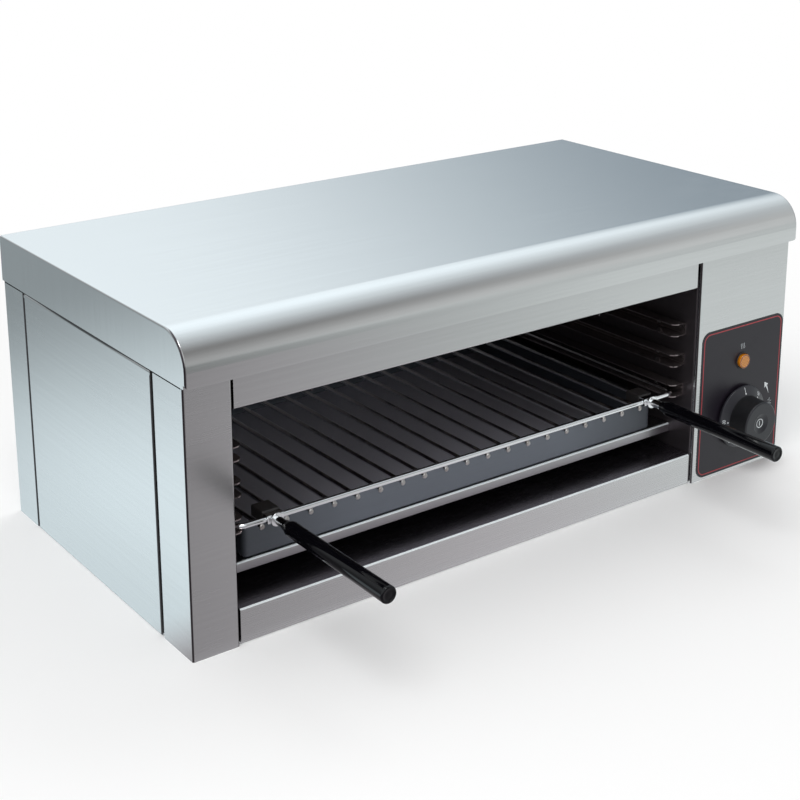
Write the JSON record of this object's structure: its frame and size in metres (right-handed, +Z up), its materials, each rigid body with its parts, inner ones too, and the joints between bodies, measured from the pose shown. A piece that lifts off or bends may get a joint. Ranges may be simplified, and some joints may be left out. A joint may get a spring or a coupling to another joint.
{
  "type": "cheese melter",
  "caption": "Countertop cheese melter: folded steel casing open to the front, wire rack with two long handles on side runners, drip tray, control knob and indicator lamp.",
  "frame": {"origin": "middle of the casing's underside, on the surface it stands on", "axes": "+X to the user's right, +Y from the front to the back, +Z up"},
  "size_m": [0.803, 0.5906, 0.32],
  "materials": {
    "casing_steel": "brushed",
    "cavity_steel": "plain sheet, darkened by heat",
    "runner_steel": "plain sheet",
    "tray_steel": "plain sheet",
    "rack_chrome": "plated wire",
    "handle_chrome": "plated",
    "grip_black": "glossy",
    "block_black": "matte",
    "knob_black": "matte",
    "label_black": "satin film",
    "lens_orange": "clear tinted",
    "lamp_plastic": "matte",
    "element_steel": "oxidised",
    "zinc_steel": "zinc plated",
    "sensor_copper": "plain",
    "thermostat_case": "matte",
    "insulation": "fibre mat",
    "terminal_plastic": "matte",
    "gland_plastic": "matte"
  },
  "bodies": {
    "casing": {"back_panel": "casing_steel", "base_screws": "zinc_steel", "bottom_pan": "casing_steel", "bulb_clips": "zinc_steel", "cable_gland": "gland_plastic", "cavity_back_wall": "cavity_steel", "cavity_ceiling": "cavity_steel", "cavity_deck": "casing_steel", "cavity_left_wall": "cavity_steel", "cavity_right_wall": "cavity_steel", "control_label": "label_black", "control_panel": "casing_steel", "element_nuts": "zinc_steel", "element_terminals": "zinc_steel", "gland_locknut": "gland_plastic", "heating_element_back": "element_steel", "heating_element_front": "element_steel", "heating_element_middle": "element_steel", "indicator_body": "lamp_plastic", "indicator_lens": "lens_orange", "indicator_nut": "zinc_steel", "left_element_hanger": "cavity_steel", "left_post": "casing_steel", "left_runner_lower": "runner_steel", "left_runner_middle": "runner_steel", "left_runner_upper": "runner_steel", "left_side_panel": "casing_steel", "lid": "casing_steel", "lid_screws": "zinc_steel", "lower_shelf": "casing_steel", "right_element_hanger": "cavity_steel", "right_runner_lower": "runner_steel", "right_runner_middle": "runner_steel", "right_runner_upper": "runner_steel", "right_side_panel": "casing_steel", "runner_rivets": "zinc_steel", "sensing_bulb": "sensor_copper", "sensor_capillary": "sensor_copper", "terminal_block": "terminal_plastic", "thermostat_body": "thermostat_case", "thermostat_screws": "zinc_steel", "top_insulation": "insulation", "upper_front_strip": "casing_steel"},
    "rack": {"rack_frame": "rack_chrome", "rack_cross_wires": "rack_chrome", "left_handle_strap": "handle_chrome", "left_handle_block": "block_black", "left_handle_stud": "handle_chrome", "left_handle_grip": "grip_black", "right_handle_strap": "handle_chrome", "right_handle_block": "block_black", "right_handle_stud": "handle_chrome", "right_handle_grip": "grip_black"},
    "drip_tray": {"drip_tray": "tray_steel"},
    "knob": {"control_knob": "knob_black", "thermostat_shaft": "zinc_steel"}
  },
  "joints": [
    {"name": "rack_slide", "type": "slide", "parent": "casing", "child": "rack", "axis": [0, -1, 0], "range_m": [0, 0.24]},
    {"name": "drip_tray_slide", "type": "slide", "parent": "casing", "child": "drip_tray", "axis": [0, -1, 0], "range_m": [0, 0.25]},
    {"name": "knob_turn", "type": "hinge", "parent": "casing", "child": "knob", "pos_m": [0.3295, -0.2005, 0.067], "axis": [0, 1, 0], "range_deg": [0, 270]}
  ]
}
